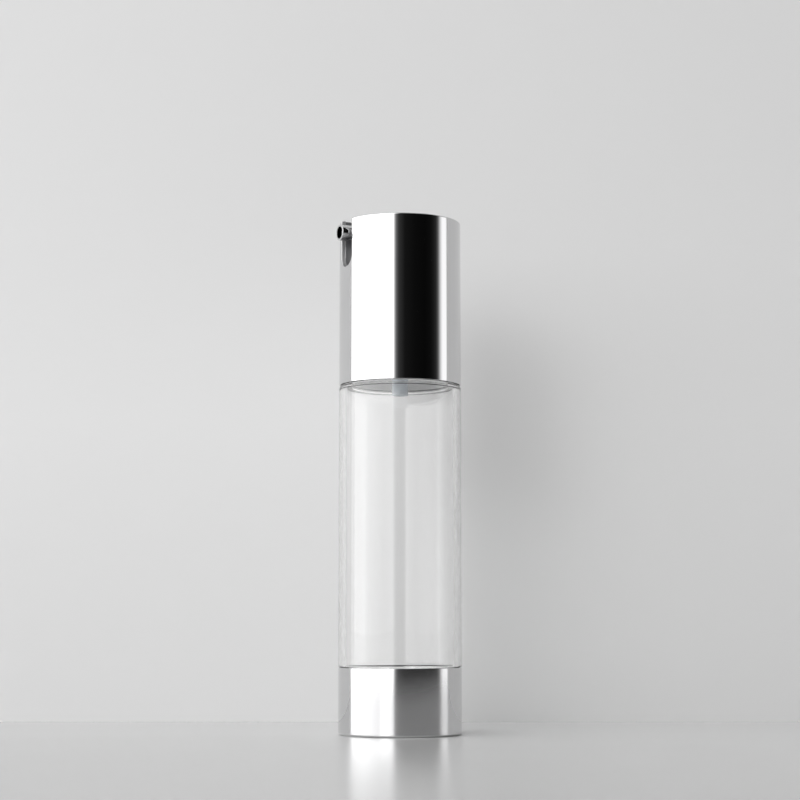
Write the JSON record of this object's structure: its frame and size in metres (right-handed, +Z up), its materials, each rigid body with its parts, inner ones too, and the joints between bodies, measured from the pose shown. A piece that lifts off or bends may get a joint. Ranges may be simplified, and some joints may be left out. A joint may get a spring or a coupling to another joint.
{
  "type": "airless pump bottle",
  "caption": "Free-standing airless pump bottle: clear tube, bright base, and a bright collar with a slot for the round spout of a push button.",
  "frame": {"origin": "centre of the base's underside, on the bottle's axis", "axes": "+Z up along the bottle's axis, the spout points towards -Y"},
  "size_m": [0.033, 0.0349, 0.1377],
  "materials": {
    "bright_metal": "polished",
    "grey_plastic": "satin",
    "clear_plastic": "polished",
    "white_plastic": "satin",
    "natural_plastic": "satin",
    "blue_plastic": "satin",
    "gasket_foam": "matte",
    "steel": "polished"
  },
  "bodies": {
    "bottle": {"clear_tube": "clear_plastic", "base_shell": "bright_metal", "base_plug": "white_plastic"},
    "head": {"collar_shell": "bright_metal", "collar_liner": "grey_plastic", "neck_gasket": "gasket_foam", "pump_carrier": "white_plastic", "inlet_tube": "blue_plastic", "ball_cage": "natural_plastic", "pump_cylinder": "natural_plastic", "chaplet": "white_plastic", "return_spring": "steel"},
    "button": {"button_cap": "bright_metal", "actuator_core": "grey_plastic", "nozzle": "bright_metal", "stem": "natural_plastic", "stem_foot": "natural_plastic"},
    "piston": {"pump_piston": "white_plastic"},
    "valve": {"inlet_ball": "steel"},
    "follower": {"follower_piston": "white_plastic"}
  },
  "joints": [
    {"name": "head_lift", "type": "slide", "parent": "bottle", "child": "head", "axis": [0, 0, 1], "range_m": [0, 0.03]},
    {"name": "button_press", "type": "slide", "parent": "head", "child": "button", "axis": [0, 0, -1], "range_m": [0, 0.006], "stiffness_N_per_m": 700, "springref_m": -0.006, "deforming": ["return_spring"]},
    {"name": "piston_slip", "type": "slide", "parent": "button", "child": "piston", "axis": [0, 0, 1], "range_m": [0, 0.0008]},
    {"name": "valve_lift", "type": "slide", "parent": "head", "child": "valve", "axis": [0, 0, 1], "range_m": [0, 0.0006]},
    {"name": "follower_rise", "type": "slide", "parent": "bottle", "child": "follower", "axis": [0, 0, 1], "range_m": [0, 0.075]}
  ]
}
